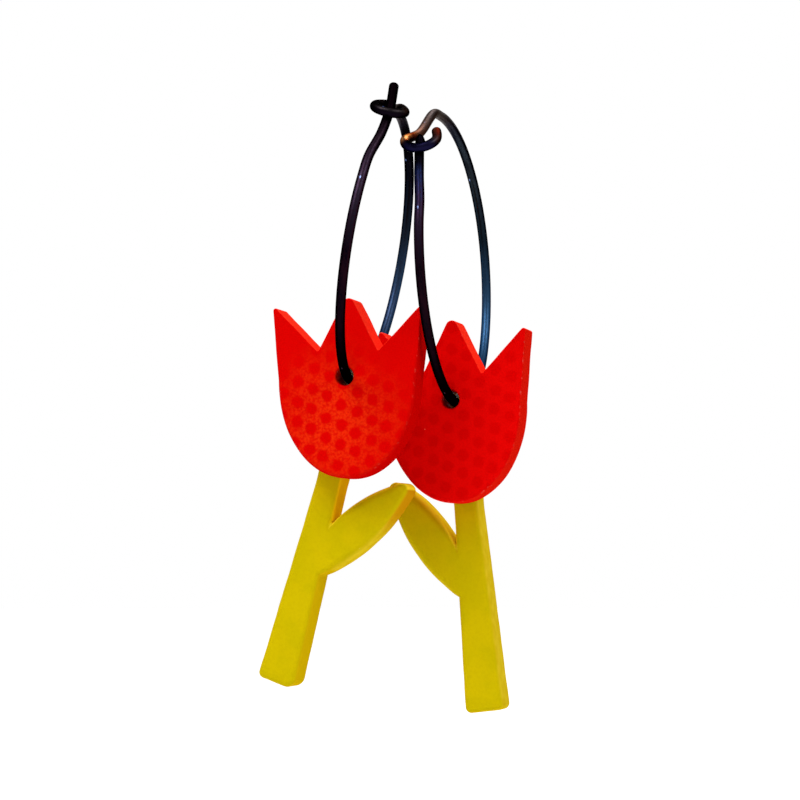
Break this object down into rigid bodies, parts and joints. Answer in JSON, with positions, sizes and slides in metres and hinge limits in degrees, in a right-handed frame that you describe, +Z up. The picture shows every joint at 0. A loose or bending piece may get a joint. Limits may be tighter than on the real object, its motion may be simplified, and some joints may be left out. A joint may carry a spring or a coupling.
{
  "type": "pair of tulip hoop earrings",
  "caption": "Wire hoop earrings with hook clasps, each carrying a loose red tulip head and, behind it, a loose yellow stem with a leaf.",
  "frame": {"origin": "midway between the two hoop crowns, where the pair hangs", "axes": "+Z up, the plates' front faces look along -Y, +X to the viewer's right"},
  "size_m": [0.0219, 0.0303, 0.0516],
  "materials": {
    "dark_wire": "darkened drawn wire with a faint bronze and blue sheen",
    "red_sheet": "satin red sheet with deeper red dots and paler sawn edges",
    "yellow_sheet": "satin mustard yellow sheet with paler sawn edges"
  },
  "bodies": {
    "hoops": {"left_hoop": "dark_wire", "right_hoop": "dark_wire"},
    "left_head": {"left_tulip_head": "red_sheet"},
    "left_stem": {"left_stem_leaf": "yellow_sheet"},
    "right_head": {"right_tulip_head": "red_sheet"},
    "right_stem": {"right_stem_leaf": "yellow_sheet"}
  },
  "joints": [
    {"name": "left_head_swing", "type": "hinge", "parent": "hoops", "child": "left_head", "pos_m": [-0.00515, -0.00516, -0.02174], "axis": [0, -1, 0], "range_deg": [-3, 37]},
    {"name": "left_stem_swing", "type": "hinge", "parent": "hoops", "child": "left_stem", "pos_m": [-0.00537, -0.00186, -0.02174], "axis": [0, -1, 0], "range_deg": [-160, 78]},
    {"name": "right_head_swing", "type": "hinge", "parent": "hoops", "child": "right_head", "pos_m": [0.00212, 0.00159, -0.02335], "axis": [0, -1, 0], "range_deg": [-68, 10]},
    {"name": "right_stem_swing", "type": "hinge", "parent": "hoops", "child": "right_stem", "pos_m": [0.00216, 0.00489, -0.02335], "axis": [0, -1, 0], "range_deg": [-71, 165]}
  ]
}
